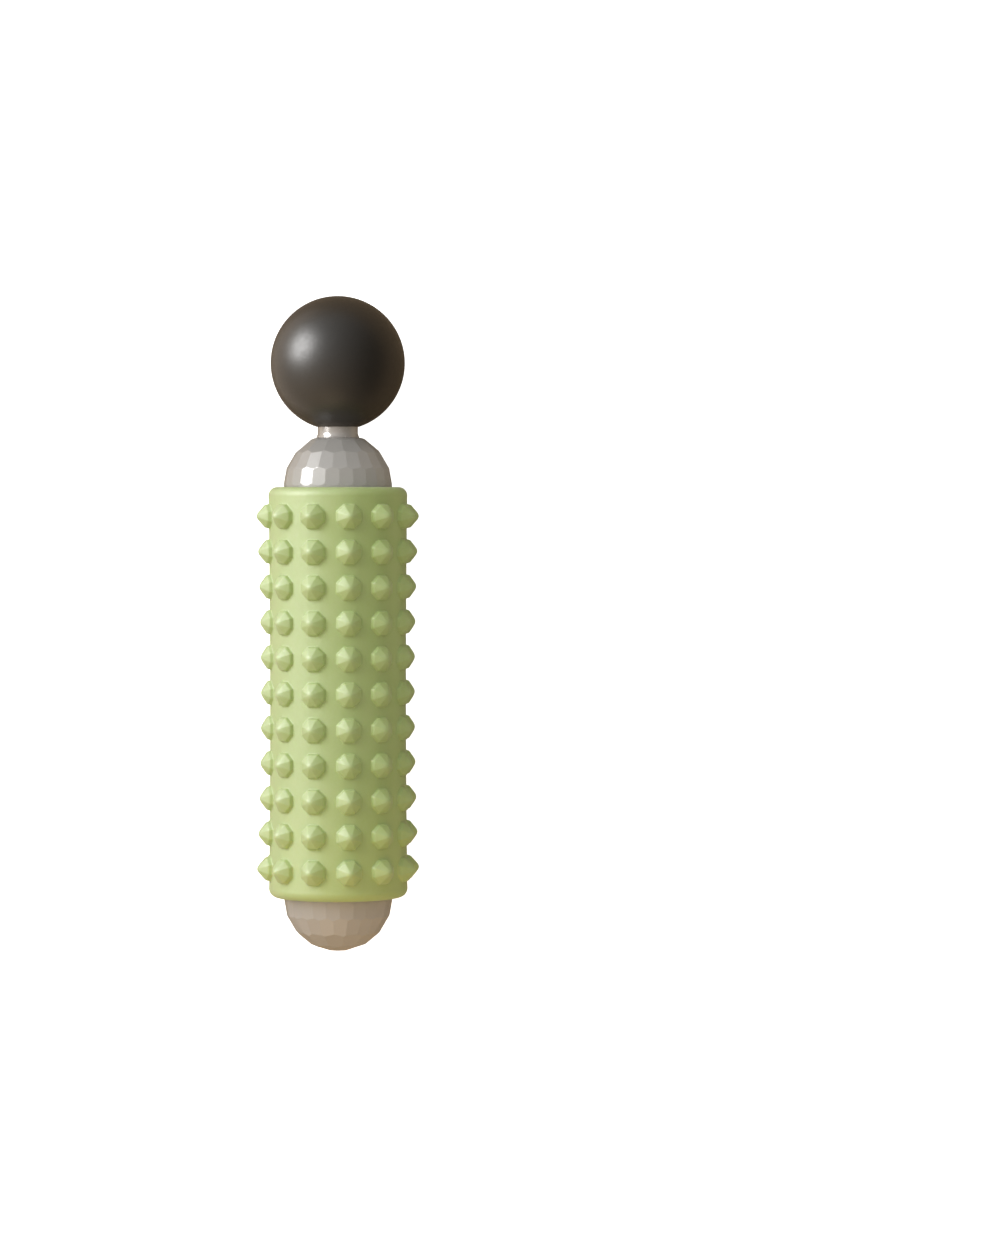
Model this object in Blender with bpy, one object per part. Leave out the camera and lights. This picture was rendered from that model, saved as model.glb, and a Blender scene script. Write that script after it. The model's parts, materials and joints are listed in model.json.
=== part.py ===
"""Foot massage roller: a soft studded sleeve that spins on an axle between two domes, with a screw-on ball.

Metres, +Z up. The roller lies on two rows of its studs, with its axis along X and the ball at +X.
The origin is on the floor, below the middle of the overall length.
Stations along the axis (names ending in _X) are counted from the middle of the sleeve.
"""

from math import asin, cos, degrees, pi, radians, sin

import bmesh
import bpy
from mathutils import Vector

MM = 0.001

# Sleeve
SLEEVE_LENGTH = 169.0 * MM
SLEEVE_R_END = 28.6 * MM
SLEEVE_R_WAIST = 28.0 * MM
LIP_BORE_R = 22.7 * MM
LIP_DEPTH = 6.5 * MM
LIP_ROUND = 3.6 * MM
MOUTH_ROUND = 0.8 * MM
TUBE_BORE_R = 23.8 * MM

# Studs
STUD_ROWS = 12
STUD_RINGS = 11
RING_PITCH = 14.5 * MM
STUD_TIP_R_END = 33.8 * MM
STUD_TIP_R_WAIST = 32.1 * MM
STUD_BASE_R = 5.05 * MM  # to the flats of its eight-sided base
STUD_KNEE = (0.93, 0.32)  # share of the base radius and of the height
STUD_TIP = (0.16, 1.0)
STUD_SIDES = 8

# Domes
DOME_R = 22.25 * MM
FACET_R = 22.0 * MM  # distance of each facet's plane from the dome's centre
FACET_RINGS = ((10.0, 24), (30.0, 22), (49.5, 13), (71.0, 7))  # latitude in degrees, facets in the ring
SKIRT_DEPTH = 5.5 * MM
DOME_WALL = 2.8 * MM
DOME_SEAT = 20.2 * MM  # height of the flat seat on the neck dome, above the dome's centre
BOSS_R = 9.0 * MM
BOSS_BORE_R = 6.8 * MM

# Axle and bearings
GAP = 0.3 * MM  # between pieces that touch
AXLE_R = 6.0 * MM
THREAD_R = 4.0 * MM
BUSH_BORE_R = 6.07 * MM
BUSH_R = 8.3 * MM
BUSH_FLANGE_R = 10.5 * MM
BUSH_FLANGE = 1.5 * MM
HUB_R = 11.2 * MM
HUB_LENGTH = 12.0 * MM
HUB_WEB = 3.0 * MM
HUB_RIM = 2.2 * MM
HUB_FACE_X = 74.0 * MM
TUBE_R = TUBE_BORE_R - GAP
TUBE_WALL = 2.5 * MM
WASHER_R = 9.5 * MM
WASHER_THICK = 1.0 * MM
NUT_R = 7.5 * MM
NUT_THICK = 4.0 * MM
INSERT_R = BOSS_BORE_R - GAP
THREAD_BORE_R = THREAD_R + GAP
BOSS_CLEARANCE = 1.5 * MM  # between a lock nut and the boss beside it
END_BORE_DEPTH = 11.0 * MM
END_INSERT_DEPTH = 10.0 * MM
END_THREAD_DEPTH = 9.0 * MM

# Ball head
BALL_R = 27.6 * MM
BALL_SKIN = 4.6 * MM
BALL_CENTRE = 50.9 * MM  # from the neck dome's centre
COLLAR_R = 8.25 * MM
COLLAR_FOOT_R = 8.9 * MM
COLLAR_FLARE = 2.4 * MM
SEAT_RECESS_R = 7.6 * MM
SEAT_RECESS = 1.2 * MM
GASKET_R = 7.2 * MM
GASKET_THICK = 0.9 * MM
HEAD_TRAVEL = 12.0 * MM  # thread engagement, four turns of a 3 mm lead
STUD_REACH = 12.5 * MM  # the head stud's reach into the ball's nut
STUD_CLEARANCE = 2.0 * MM  # between the head stud and the axle
INSERT_CLEARANCE = 0.5 * MM  # between the neck insert and the washer's recess
COLLAR_LENGTH = 12.7 * MM
CORE_NUT_LENGTH = 12.5 * MM

SEGMENTS = 24
SHARP_ANGLE = radians(30)

# Stations worked out from the sizes above
DOME_X = SLEEVE_LENGTH / 2
SEAT_X = DOME_X + DOME_SEAT
BALL_X = DOME_X + BALL_CENTRE
END_POLE_X = -DOME_X - FACET_R
HEAD_TIP_X = BALL_X + BALL_R
SLEEVE_MID_X = -(HEAD_TIP_X + END_POLE_X) / 2
FLANGE_FACE_X = HUB_FACE_X + GAP + BUSH_FLANGE
WASHER_X = FLANGE_FACE_X + GAP
NUT_X = WASHER_X + WASHER_THICK + GAP
SHOULDER_X = NUT_X - GAP / 2
BOSS_X = NUT_X + NUT_THICK + BOSS_CLEARANCE
RECESS_X = SEAT_X - SEAT_RECESS
INSERT_TOP_X = RECESS_X - INSERT_CLEARANCE
STUD_END_X = INSERT_TOP_X - HEAD_TRAVEL
COLLAR_X = SEAT_X + GAP
COLLAR_TOP_X = COLLAR_X + COLLAR_LENGTH
CORE_NUT_X = COLLAR_TOP_X + 2 * GAP


def material(name, colour, roughness, metallic=0.0):
    found = bpy.data.materials.new(name)
    found.use_nodes = True
    shader = found.node_tree.nodes["Principled BSDF"]
    shader.inputs["Base Color"].default_value = (*colour, 1.0)
    shader.inputs["Roughness"].default_value = roughness
    shader.inputs["Metallic"].default_value = metallic
    found.diffuse_color = (*colour, 1.0)
    return found


def finish_mesh(name, bm, finish, axis):
    """Turns a bmesh into a named object on the roller's axis, faces out and round sides smooth."""
    bmesh.ops.recalc_face_normals(bm, faces=bm.faces)
    mesh = bpy.data.meshes.new(name)
    bm.to_mesh(mesh)
    bm.free()
    mesh.shade_smooth()
    mesh.set_sharp_from_angle(angle=SHARP_ANGLE)
    mesh.materials.append(finish)
    piece = bpy.data.objects.new(name, mesh)
    bpy.context.collection.objects.link(piece)
    piece.parent = axis
    return piece


def on_ring(x, r, angle):
    """A point at station x, at radius r, turned by angle from straight up."""
    return Vector((x, r * sin(angle), r * cos(angle)))


def ring_of(bm, x, r):
    """The points of one ring, or a single point on the axis."""
    if r == 0:
        return [bm.verts.new((x, 0, 0))]
    return [bm.verts.new(on_ring(x, r, 2 * pi * i / SEGMENTS)) for i in range(SEGMENTS)]


def join_rings(bm, first, second):
    """Faces between two rings, either of which may be a single point."""
    count = max(len(first), len(second))
    for i in range(count):
        k = (i + 1) % count
        corners = [first[i % len(first)], first[k % len(first)]]
        corners += [second[k % len(second)], second[i % len(second)]]
        bm.faces.new(list(dict.fromkeys(corners)))


def turned_mesh(profile, closed):
    """A bmesh turned about X from (station, radius) points: a closed loop, or a line from axis to axis."""
    bm = bmesh.new()
    rings = [ring_of(bm, x, r) for x, r in profile]
    for first, second in zip(rings, rings[1:]):
        join_rings(bm, first, second)
    if closed:
        join_rings(bm, rings[-1], rings[0])
    return bm


def turned(name, profile, finish, axis):
    closed = all(r > 0 for _, r in profile)
    return finish_mesh(name, turned_mesh(profile, closed), finish, axis)


def arc(centre_x, centre_r, radius, start, end, steps):
    """(station, radius) points round an arc; angles in degrees, 0 along +X and 90 away from the axis."""
    angles = [radians(start + (end - start) * i / steps) for i in range(steps + 1)]
    return [(centre_x + radius * cos(a), centre_r + radius * sin(a)) for a in angles]


def pipe(start_x, end_x, inner, outer):
    return [(start_x, inner), (start_x, outer), (end_x, outer), (end_x, inner)]


def mirrored(profile, side):
    """The same profile at the ball end (side 1) or at the plain end (side -1)."""
    return [(side * x, r) for x, r in profile]


def body_radius(x):
    """The sleeve's outer radius: smallest at the waist, in the middle."""
    return SLEEVE_R_WAIST + (SLEEVE_R_END - SLEEVE_R_WAIST) * (2 * x / SLEEVE_LENGTH) ** 2


def stud_height(x):
    """How far the tip of a stud in the ring at x stands above the sleeve."""
    end_ring = RING_PITCH * (STUD_RINGS - 1) / 2
    tip = STUD_TIP_R_WAIST + (STUD_TIP_R_END - STUD_TIP_R_WAIST) * (x / end_ring) ** 2
    return tip - body_radius(x)


def add_stud(bm, x, angle, border):
    """One faceted stud; its base, knee and tip have a corner for each point of its cell's border."""
    height = stud_height(x)
    below = border
    for share, lift in ((1.0, 0.0), STUD_KNEE, STUD_TIP):
        corner_r = share * STUD_BASE_R / cos(pi / STUD_SIDES)
        ring = []
        for i in range(STUD_SIDES):
            turn = 2 * pi * (i + 0.5) / STUD_SIDES
            along = x + corner_r * sin(turn)
            offset = angle + corner_r * cos(turn) / SLEEVE_R_WAIST
            ring.append(bm.verts.new(on_ring(along, body_radius(along) + lift * height, offset)))
        join_rings(bm, below, ring)
        below = ring
    bm.faces.new(below)


def sleeve_mesh():
    """Cells with a stud each, then both lips and the bore."""
    bm = bmesh.new()
    half_pitch = RING_PITCH / 2
    stations = [half_pitch * (i - STUD_RINGS) for i in range(2 * STUD_RINGS + 1)]
    rings = [ring_of(bm, x, body_radius(x)) for x in stations]
    for j in range(1, len(stations), 2):
        low, middle, high = rings[j - 1 : j + 2]
        for row in range(STUD_ROWS):
            left, centre, right = (2 * row + i for i in range(3))
            right %= SEGMENTS
            border = [middle[right], high[right], high[centre], high[left]]
            border += [middle[left], low[left], low[centre], low[right]]
            add_stud(bm, stations[j], 2 * pi * centre / SEGMENTS, border)
    end = SLEEVE_LENGTH / 2
    lip = [
        *arc(end - LIP_ROUND, SLEEVE_R_END - LIP_ROUND, LIP_ROUND, 90, 0, 3),
        *arc(end - MOUTH_ROUND, LIP_BORE_R + MOUTH_ROUND, MOUTH_ROUND, 0, -90, 1),
        (end - LIP_DEPTH, LIP_BORE_R),
        (end - LIP_DEPTH, TUBE_BORE_R),
    ]
    far = [ring_of(bm, x, r) for x, r in lip]
    near = [ring_of(bm, -x, r) for x, r in lip]
    chain = [*reversed(near), rings[0]], [rings[-1], *far, near[-1]]
    for line in chain:
        for first, second in zip(line, line[1:]):
            join_rings(bm, first, second)
    return bm


def massage_sleeve(finish, axis):
    return finish_mesh("massage_sleeve", sleeve_mesh(), finish, axis)


def roller_tube(finish, axis):
    reach = SLEEVE_LENGTH / 2 - LIP_DEPTH - GAP
    turned("roller_tube", pipe(-reach, reach, TUBE_R - TUBE_WALL, TUBE_R), finish, axis)


def bearing_hub(name, side, finish, axis):
    """A hub with a rim and a web between them, pressed into the tube."""
    outer = TUBE_R - TUBE_WALL - GAP
    back = HUB_FACE_X - HUB_LENGTH
    web = HUB_FACE_X - (HUB_LENGTH + HUB_WEB) / 2
    profile = [
        (back, BUSH_R + GAP),
        (back, HUB_R),
        (web, HUB_R),
        (web, outer - HUB_RIM),
        (back, outer - HUB_RIM),
        (back, outer),
        (HUB_FACE_X, outer),
        (HUB_FACE_X, outer - HUB_RIM),
        (web + HUB_WEB, outer - HUB_RIM),
        (web + HUB_WEB, HUB_R),
        (HUB_FACE_X, HUB_R),
        (HUB_FACE_X, BUSH_R + GAP),
    ]
    turned(name, mirrored(profile, side), finish, axis)


def hub_bush(name, side, finish, axis):
    """A flanged plain bearing with running clearance on the axle."""
    profile = [
        (HUB_FACE_X - HUB_LENGTH, BUSH_BORE_R),
        (HUB_FACE_X - HUB_LENGTH, BUSH_R),
        (HUB_FACE_X + GAP, BUSH_R),
        (HUB_FACE_X + GAP, BUSH_FLANGE_R),
        (FLANGE_FACE_X, BUSH_FLANGE_R),
        (FLANGE_FACE_X, BUSH_BORE_R),
    ]
    turned(name, mirrored(profile, side), finish, axis)


def axle_rod(finish, axis):
    """A rod with a thinner threaded end at each side, which reaches into the dome inserts."""
    end_tip = BOSS_X + END_THREAD_DEPTH
    neck_tip = STUD_END_X - STUD_CLEARANCE
    profile = [
        (-end_tip, 0),
        (-end_tip, THREAD_R),
        (-SHOULDER_X, THREAD_R),
        (-SHOULDER_X, AXLE_R),
        (SHOULDER_X, AXLE_R),
        (SHOULDER_X, THREAD_R),
        (neck_tip, THREAD_R),
        (neck_tip, 0),
    ]
    turned("axle_rod", profile, finish, axis)


def thrust_washer(name, side, finish, axis):
    profile = pipe(WASHER_X, WASHER_X + WASHER_THICK, AXLE_R + GAP, WASHER_R)
    turned(name, mirrored(profile, side), finish, axis)


def lock_nut(name, side, finish, axis):
    """A hexagon outside and a round bore inside, on the axle's threaded end."""
    bm = bmesh.new()
    rings = []
    for x, r in pipe(NUT_X, NUT_X + NUT_THICK, THREAD_BORE_R, NUT_R):
        ring = []
        for i in range(SEGMENTS):
            turn = 2 * pi * i / SEGMENTS
            within = (turn + pi / 6) % (pi / 3) - pi / 6
            flat = cos(pi / 6) / cos(abs(within) - pi / 6 if r == NUT_R else 0)
            ring.append(bm.verts.new(on_ring(side * x, r * flat if r == NUT_R else r, turn)))
        rings.append(ring)
    for first, second in zip(rings, [*rings[1:], rings[0]]):
        join_rings(bm, first, second)
    finish_mesh(name, bm, finish, axis)


def facet_normals():
    """The outward direction of every facet on a dome that points along +X."""
    for index, (latitude, count) in enumerate(FACET_RINGS):
        up = radians(latitude)
        for i in range(count):
            yield on_ring(sin(up), cos(up), 2 * pi * (i + 0.5 * (index % 2)) / count)
    yield Vector((1, 0, 0))


def faceted_blank():
    """A round blank along +X, cut by one plane for each facet; the dome's centre is at the origin."""
    blank = turned_mesh([(-SKIRT_DEPTH, 0), (-SKIRT_DEPTH, DOME_R), (DOME_R, DOME_R), (DOME_R, 0)], False)
    for normal in facet_normals():
        parts = [*blank.verts, *blank.edges, *blank.faces]
        cut = bmesh.ops.bisect_plane(
            blank, geom=parts, dist=1e-7, plane_co=normal * FACET_R, plane_no=normal, clear_outer=True
        )
        rim = [e for e in cut["geom_cut"] if isinstance(e, bmesh.types.BMEdge)]
        bmesh.ops.holes_fill(blank, edges=rim)
    return blank


def hollow(name, profile, dome, axis, side):
    """Cuts a turned shape out of a dome."""
    bm = turned_mesh(mirrored(profile, side), False)
    cutter = finish_mesh(name, bm, dome.data.materials[0], axis)
    cutter.hide_render = True
    cutter.display_type = "WIRE"
    cut = dome.modifiers.new("hollow", "BOOLEAN")
    cut.operation = "DIFFERENCE"
    cut.object = cutter


def dome_hollow(inner_end):
    """The inside of a dome: a round shell with a central boss, whose bore ends as inner_end says."""
    inner = DOME_R - DOME_WALL
    meets = asin(BOSS_R / inner)
    shell = arc(DOME_X, 0, inner, 90, degrees(meets), 5)
    mouth = DOME_X - SKIRT_DEPTH - MM
    return [(mouth, 0), (mouth, inner), *shell, (BOSS_X, BOSS_R), (BOSS_X, BOSS_BORE_R), *inner_end]


def end_dome(finish, axis):
    """The plain dome: a faceted shell with a blind boss for its insert."""
    bm = faceted_blank()
    for vert in bm.verts:
        vert.co.x = -(vert.co.x + DOME_X)
    dome = finish_mesh("end_dome", bm, finish, axis)
    bore_end = BOSS_X + END_BORE_DEPTH
    hollow("end_dome_hollow", dome_hollow([(bore_end, BOSS_BORE_R), (bore_end, 0)]), dome, axis, -1)


def neck_dome(finish, axis):
    """The dome under the ball: cut off flat at its seat, and bored right through for the ball's stud."""
    bm = faceted_blank()
    for vert in bm.verts:
        vert.co.x += DOME_X
    parts = [*bm.verts, *bm.edges, *bm.faces]
    cut = bmesh.ops.bisect_plane(
        bm, geom=parts, dist=1e-7, plane_co=(SEAT_X, 0, 0), plane_no=(1, 0, 0), clear_outer=True
    )
    bmesh.ops.holes_fill(bm, edges=[e for e in cut["geom_cut"] if isinstance(e, bmesh.types.BMEdge)])
    dome = finish_mesh("neck_dome", bm, finish, axis)
    above = SEAT_X + MM
    bore = [(RECESS_X, BOSS_BORE_R), (RECESS_X, SEAT_RECESS_R), (above, SEAT_RECESS_R), (above, 0)]
    hollow("neck_dome_hollow", dome_hollow(bore), dome, axis, 1)


def dome_insert(name, side, end_x, finish, axis):
    profile = pipe(BOSS_X + GAP, end_x, THREAD_BORE_R, INSERT_R)
    turned(name, mirrored(profile, side), finish, axis)


def neck_washer(finish, axis):
    start = COLLAR_X - GAP - GASKET_THICK
    turned("neck_washer", pipe(start, start + GASKET_THICK, THREAD_BORE_R, GASKET_R), finish, axis)


def neck_collar(finish, axis):
    """A short collar with a flared foot, whose upper end sits in the ball's core."""
    spread = COLLAR_FOOT_R - COLLAR_R
    flare = [(COLLAR_X + COLLAR_FLARE * t, COLLAR_R + spread * (1 - t) ** 2) for t in (0.2, 0.5, 1.0)]
    profile = [
        (COLLAR_X, THREAD_BORE_R),
        (COLLAR_X, COLLAR_FOOT_R),
        *flare,
        (COLLAR_TOP_X, COLLAR_R),
        (COLLAR_TOP_X, THREAD_BORE_R),
    ]
    turned("neck_collar", profile, finish, axis)


def head_stud(finish, axis):
    tip = CORE_NUT_X + STUD_REACH
    turned("head_stud", [(STUD_END_X, 0), (STUD_END_X, THREAD_R), (tip, THREAD_R), (tip, 0)], finish, axis)


def ball_core(finish, axis):
    """A solid ball with a socket for the collar and a deeper one for the nut."""
    radius = BALL_R - BALL_SKIN - GAP
    socket = COLLAR_R + GAP
    meets = 180 - degrees(asin(socket / radius))
    floor = COLLAR_TOP_X + GAP
    deep = CORE_NUT_X + CORE_NUT_LENGTH + GAP
    profile = [
        (deep, 0),
        (deep, BOSS_BORE_R),
        (floor, BOSS_BORE_R),
        (floor, socket),
        *arc(BALL_X, 0, radius, meets, 0, 7)[:-1],
        (BALL_X + radius, 0),
    ]
    turned("ball_core", profile, finish, axis)


def ball_core_nut(finish, axis):
    profile = pipe(CORE_NUT_X, CORE_NUT_X + CORE_NUT_LENGTH, THREAD_BORE_R, INSERT_R)
    turned("ball_core_nut", profile, finish, axis)


def ball_cover(finish, axis):
    """The ball's rubber skin, open where the collar enters."""
    inner = BALL_R - BALL_SKIN
    mouth = COLLAR_R + GAP
    outside = 180 - degrees(asin(mouth / BALL_R))
    inside = 180 - degrees(asin(mouth / inner))
    profile = [
        (BALL_X + inner, 0),
        *arc(BALL_X, 0, inner, 0, inside, 7)[1:],
        *arc(BALL_X, 0, BALL_R, outside, 0, 10)[:-1],
        (BALL_X + BALL_R, 0),
    ]
    turned("ball_cover", profile, finish, axis)


def clear_scene():
    for piece in list(bpy.data.objects):
        bpy.data.objects.remove(piece)


def main():
    clear_scene()
    green = material("green_tpe", (0.42, 0.56, 0.29), 0.55)
    grey = material("dome_plastic", (0.36, 0.33, 0.31), 0.35)
    light_grey = material("collar_plastic", (0.55, 0.53, 0.51), 0.28)
    black = material("black_rubber", (0.035, 0.034, 0.033), 0.5)
    white = material("tube_plastic", (0.75, 0.75, 0.72), 0.5)
    nylon = material("nylon", (0.82, 0.80, 0.74), 0.45)
    steel = material("steel", (0.55, 0.56, 0.58), 0.3, 1.0)
    brass = material("brass", (0.72, 0.55, 0.27), 0.32, 1.0)

    axis = bpy.data.objects.new("roller_axis", None)
    bpy.context.collection.objects.link(axis)
    sleeve = massage_sleeve(green, axis)
    lowest = min(vert.co.z for vert in sleeve.data.vertices)
    axis.location = (SLEEVE_MID_X, 0, -lowest)

    roller_tube(white, axis)
    for end, side in (("end", -1), ("neck", 1)):
        bearing_hub(f"bearing_hub_{end}", side, white, axis)
        hub_bush(f"hub_bush_{end}", side, nylon, axis)
        thrust_washer(f"thrust_washer_{end}", side, nylon, axis)
        lock_nut(f"lock_nut_{end}", side, steel, axis)
    axle_rod(steel, axis)
    end_dome(grey, axis)
    neck_dome(grey, axis)
    dome_insert("end_dome_insert", -1, BOSS_X + END_INSERT_DEPTH, brass, axis)
    dome_insert("neck_dome_insert", 1, INSERT_TOP_X, brass, axis)
    neck_washer(black, axis)
    neck_collar(light_grey, axis)
    head_stud(steel, axis)
    ball_core(white, axis)
    ball_core_nut(brass, axis)
    ball_cover(black, axis)
    bpy.context.view_layer.update()


main()
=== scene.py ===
"""Looks of the foot massage roller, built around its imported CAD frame.

Metres, +Z up, with the roller's axis along X. Stations are counted along X from the sleeve's middle.
"""

import json
from math import asin, cos, degrees, pi, radians, sin

import bmesh
import bpy
import numpy as np
from mathutils import Matrix, Vector


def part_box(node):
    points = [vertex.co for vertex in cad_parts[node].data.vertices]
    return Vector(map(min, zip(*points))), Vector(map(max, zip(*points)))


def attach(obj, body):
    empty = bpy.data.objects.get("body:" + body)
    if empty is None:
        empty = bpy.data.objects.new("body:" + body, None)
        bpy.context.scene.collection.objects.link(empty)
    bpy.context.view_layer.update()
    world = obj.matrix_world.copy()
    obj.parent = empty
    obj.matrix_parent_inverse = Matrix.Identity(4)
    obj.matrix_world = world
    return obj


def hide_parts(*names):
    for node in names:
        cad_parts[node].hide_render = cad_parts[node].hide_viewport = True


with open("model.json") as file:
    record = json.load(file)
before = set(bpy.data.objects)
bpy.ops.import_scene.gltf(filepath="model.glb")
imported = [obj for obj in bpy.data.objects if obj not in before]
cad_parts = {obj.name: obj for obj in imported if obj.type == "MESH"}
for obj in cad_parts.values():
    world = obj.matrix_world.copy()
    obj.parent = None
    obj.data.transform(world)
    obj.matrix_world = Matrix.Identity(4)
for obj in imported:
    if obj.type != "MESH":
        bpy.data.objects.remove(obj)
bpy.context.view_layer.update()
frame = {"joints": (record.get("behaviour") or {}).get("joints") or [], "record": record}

MM = 0.001

# Sizes of the CAD parts
SLEEVE_R_END = 28.6 * MM
SLEEVE_R_WAIST = 28.0 * MM
LIP_BORE_R = 22.7 * MM
LIP_DEPTH = 6.5 * MM
LIP_ROUND = 3.6 * MM
MOUTH_ROUND = 0.8 * MM
TUBE_BORE_R = 23.8 * MM
STUD_ROWS = 12
STUD_RINGS = 11
STUD_SIDES = 8
RING_PITCH = 14.5 * MM
STUD_TIP_R_END = 33.8 * MM
STUD_TIP_R_WAIST = 32.1 * MM
STUD_BASE_R = 5.05 * MM
STUD_KNEE = (0.93, 0.32)
STUD_TIP_SHARE = 0.16
DOME_R = 22.25 * MM
FACET_R = 22.0 * MM
FACET_RINGS = ((10.0, 24), (30.0, 22), (49.5, 13), (71.0, 7))
SKIRT_DEPTH = 5.5 * MM
DOME_WALL = 2.8 * MM
DOME_SEAT = 20.2 * MM
SEAT_RECESS_R = 7.6 * MM
SEAT_RECESS = 1.2 * MM
BOSS_R = 9.0 * MM
BOSS_BORE_R = 6.8 * MM
END_BORE_DEPTH = 11.0 * MM
TUBE_R = 23.5 * MM
TUBE_WALL = 2.5 * MM
HUB_RIM_R = 20.7 * MM
HUB_RIM = 2.2 * MM
HUB_R = 11.2 * MM
HUB_BORE_R = 8.6 * MM
HUB_WEB = 3.0 * MM
BUSH_R = 8.3 * MM
BUSH_BORE_R = 6.07 * MM
BUSH_FLANGE_R = 10.5 * MM
BUSH_FLANGE = 1.5 * MM
AXLE_R = 6.0 * MM
WASHER_BORE_R = 6.3 * MM
WASHER_R = 9.5 * MM
NUT_R = 7.5 * MM
GASKET_R = 7.2 * MM
BALL_R = 27.6 * MM
BALL_SKIN = 4.6 * MM
COLLAR_R = 8.25 * MM
COLLAR_FOOT_R = 8.9 * MM
COLLAR_FLARE = 2.4 * MM
THREAD_R = 4.0 * MM
THREAD_LEAD = 3.0 * MM
GAP = 0.3 * MM

# Details that only the visual model has
AXLE_THREAD_LEAD = 1.25 * MM
AXLE_THREAD_DEPTH = 0.55 * MM
HEAD_THREAD_DEPTH = 0.75 * MM
COLLAR_DROP = 0.27 * MM  # how far the collar's foot reaches below its solid, to close the gap over the dome
FACET_EASE = 0.28 * MM
KNURL_DEPTH = 0.25 * MM
KNURL_COUNT = 32
NECK_SHARE = 0.93  # an insert's plain neck, as a share of its radius
FACET_ROUND = 0.12 * MM  # between a stud's sloping facets
TIP_ROUND = 0.9 * MM  # at a stud's tip
KNEE_ROUND = 0.5 * MM  # where a stud's facets meet its wall
FOOT_ROUND = 0.5 * MM  # where a stud's wall meets the sleeve
CORNER_ANGLE = radians(25)  # a gentler turn of a profile isn't eased

# Places read from the frame
sleeve_low, sleeve_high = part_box("massage_sleeve")
SLEEVE_LENGTH = sleeve_high.x - sleeve_low.x
SLEEVE_MID = (sleeve_low + sleeve_high) / 2
AXIS_Z = frame["joints"][0]["pos_m"][2]
DOME_X = SLEEVE_LENGTH / 2

ROUND_STEPS = 128
DOME_STEPS = 96
THREAD_STEPS = 72


# ---------------------------------------------------------------- materials


def new_material(name, colour, roughness, metallic=0.0):
    """A node material and its shader. Colour and roughness hold wherever nothing is linked in their place."""
    made = bpy.data.materials.new(name)
    made.use_nodes = True
    shader = made.node_tree.nodes["Principled BSDF"]
    shader.inputs["Base Color"].default_value = (*colour, 1.0)
    shader.inputs["Roughness"].default_value = roughness
    shader.inputs["Metallic"].default_value = metallic
    return made, shader


def noise(made, scale, detail=3.0, stretch=(1, 1, 1), distortion=0.0):
    """Noise over the object, in waves per metre."""
    tree = made.node_tree
    coords = tree.nodes.new("ShaderNodeTexCoord")
    mapping = tree.nodes.new("ShaderNodeMapping")
    mapping.inputs["Scale"].default_value = stretch
    texture = tree.nodes.new("ShaderNodeTexNoise")
    texture.inputs["Scale"].default_value = scale
    texture.inputs["Detail"].default_value = detail
    texture.inputs["Distortion"].default_value = distortion
    tree.links.new(coords.outputs["Object"], mapping.inputs["Vector"])
    tree.links.new(mapping.outputs["Vector"], texture.inputs["Vector"])
    return texture.outputs["Fac"]


def remap(made, value, low, high, start=0.3, end=0.7):
    """The value's range start to end, mapped to low to high."""
    node = made.node_tree.nodes.new("ShaderNodeMapRange")
    for socket, number in (("From Min", start), ("From Max", end), ("To Min", low), ("To Max", high)):
        node.inputs[socket].default_value = number
    made.node_tree.links.new(value, node.inputs["Value"])
    return node.outputs["Result"]


def mix_colours(made, factor, first, second):
    """A colour between two, by factor; each is a colour or another node's output."""
    node = made.node_tree.nodes.new("ShaderNodeMix")
    node.data_type = "RGBA"
    made.node_tree.links.new(factor, node.inputs["Factor"])
    for socket, colour in ((node.inputs["A"], first), (node.inputs["B"], second)):
        if isinstance(colour, tuple):
            socket.default_value = (*colour, 1.0)
        else:
            made.node_tree.links.new(colour, socket)
    return node.outputs["Result"]


def bump(made, shader, heights, distance, strength=1.0):
    """Adds a bump on top of any that the shader already has."""
    tree = made.node_tree
    node = tree.nodes.new("ShaderNodeBump")
    node.inputs["Distance"].default_value = distance
    node.inputs["Strength"].default_value = strength
    tree.links.new(heights, node.inputs["Height"])
    socket = shader.inputs["Normal"]
    if socket.is_linked:
        tree.links.new(socket.links[0].from_socket, node.inputs["Normal"])
    tree.links.new(node.outputs["Normal"], socket)


def feed(made, shader, socket, value):
    made.node_tree.links.new(value, shader.inputs[socket])


def attribute(made, name):
    node = made.node_tree.nodes.new("ShaderNodeAttribute")
    node.attribute_name = name
    return node.outputs["Fac"]


def green_tpe():
    """Soft sage green rubber: satin, faintly translucent, and paler towards the studs' tips."""
    made, shader = new_material("green_tpe", (0.42, 0.48, 0.17), 0.5)
    cloud = remap(made, noise(made, 45.0, 2.0), 0.0, 1.0)
    body = mix_colours(made, cloud, (0.380, 0.515, 0.138), (0.410, 0.540, 0.160))
    # Base colour grows paler towards the studs' tips, by how high each point stands on its stud.
    paler_tips = remap(made, attribute(made, "lift"), 0.0, 0.35, 0.55, 1.0)
    feed(made, shader, "Base Color", mix_colours(made, paler_tips, body, (0.48, 0.61, 0.26)))
    feed(made, shader, "Roughness", remap(made, noise(made, 900.0, 4.0), 0.64, 0.74))
    bump(made, shader, noise(made, 2600.0, 3.0), 0.00005, 0.5)
    bump(made, shader, noise(made, 320.0, 2.0), 0.00012, 0.35)
    shader.inputs["Subsurface Weight"].default_value = 0.22
    shader.inputs["Subsurface Radius"].default_value = (0.6, 1.0, 0.35)
    shader.inputs["Subsurface Scale"].default_value = 0.0013
    shader.inputs["IOR"].default_value = 1.8
    shader.inputs["Specular IOR Level"].default_value = 1.0
    shader.inputs["Coat Weight"].default_value = 0.15
    shader.inputs["Coat Roughness"].default_value = 0.3
    shader.inputs["Sheen Weight"].default_value = 0.2
    shader.inputs["Sheen Roughness"].default_value = 0.5
    return made


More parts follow.
